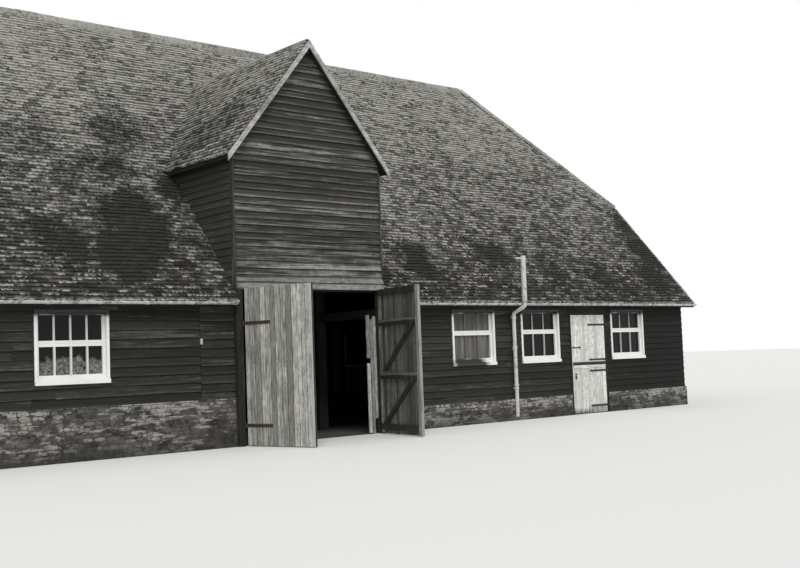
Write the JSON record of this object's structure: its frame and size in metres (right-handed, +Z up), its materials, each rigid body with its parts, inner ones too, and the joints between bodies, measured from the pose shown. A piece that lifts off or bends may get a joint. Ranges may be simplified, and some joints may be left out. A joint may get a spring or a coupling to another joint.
{
  "type": "timber-framed barn",
  "caption": "Long weatherboarded barn with a steep tiled half-hipped roof, a gabled cart entrance with hinged leaves and a two-leaf stable door.",
  "frame": {"origin": "on the ground under the ridge, on the centre line of the cart entrance", "axes": "+X along the front to the right, +Y from the front to the back, +Z up"},
  "size_m": [24.824, 12.8865, 9.237],
  "materials": {
    "tile": "weathered plain clay tiles with lichen and moss",
    "ridge_tile": "half-round clay ridge tiles",
    "board": "black tarred weatherboarding",
    "panel_board": "black tarred boards over a closed opening",
    "frame_timber": "old oak frame",
    "post_timber": "dark weathered door posts",
    "pale_board": "bare weathered board",
    "bargeboard": "worn pale paint",
    "masonry": "flint and brick rubble with lime mortar",
    "left_leaf_wood": "bare weathered grey boards",
    "right_leaf_wood": "dark weathered boards",
    "ledge_wood": "dark weathered ledges and braces",
    "iron": "rusty wrought iron",
    "white_paint": "worn white paint",
    "dark_frame": "black tarred frame",
    "glass": "old window glass",
    "gutter_iron": "worn pale green-grey paint",
    "pipe_iron": "worn pale paint"
  },
  "bodies": {
    "barn": {"roof_front": "tile", "roof_back": "tile", "roof_half_hips": "tile", "porch_roof_left": "tile", "porch_roof_right": "tile", "ridge_tiles": "ridge_tile", "porch_bargeboards": "bargeboard", "porch_gable": "board", "porch_cheeks": "board", "door_posts": "post_timber", "doorway_head": "frame_timber", "jamb_board": "pale_board", "plinth": "masonry", "wall_front_left": "board", "boarded_panel": "panel_board", "wall_front_middle": "board", "wall_over_stable_door": "board", "wall_front_right": "board", "wall_back": "board", "wall_ends": "board", "window_frames": "white_paint", "window_glass": "glass", "wall_posts": "frame_timber", "end_posts": "frame_timber", "plates": "frame_timber", "arcade_posts": "frame_timber", "tie_beams": "frame_timber", "arch_braces": "frame_timber", "principal_rafters": "frame_timber", "collars": "frame_timber", "crown_struts": "frame_timber", "purlins": "frame_timber", "common_rafters": "frame_timber", "gutters": "gutter_iron", "vent_pipe": "pipe_iron", "vent_pipe_clips": "pipe_iron", "stable_frame": "dark_frame", "hinge_pins": "iron"},
    "left_leaf": {"left_leaf_boards": "left_leaf_wood", "left_leaf_ledges": "ledge_wood", "left_leaf_straps": "iron"},
    "right_leaf": {"right_leaf_boards": "right_leaf_wood", "right_leaf_ledges": "ledge_wood", "right_leaf_straps": "iron"},
    "stable_lower": {"stable_lower_leaf": "white_paint", "stable_lower_straps": "iron"},
    "stable_upper": {"stable_upper_leaf": "white_paint", "stable_upper_straps": "iron"}
  },
  "joints": [
    {"name": "left_leaf_hinge", "type": "hinge", "parent": "barn", "child": "left_leaf", "pos_m": [-1.605, -5.56, 0], "axis": [0, 0, -1], "range_deg": [-76.5, 33.5]},
    {"name": "right_leaf_hinge", "type": "hinge", "parent": "barn", "child": "right_leaf", "pos_m": [1.632, -5.56, 0], "axis": [0, 0, 1], "range_deg": [-80, 30]},
    {"name": "stable_lower_hinge", "type": "hinge", "parent": "barn", "child": "stable_lower", "pos_m": [8.859, -5.476, 0], "axis": [0, 0, 1], "range_deg": [0, 160]},
    {"name": "stable_upper_hinge", "type": "hinge", "parent": "barn", "child": "stable_upper", "pos_m": [8.859, -5.476, 0], "axis": [0, 0, 1], "range_deg": [0, 160]}
  ]
}
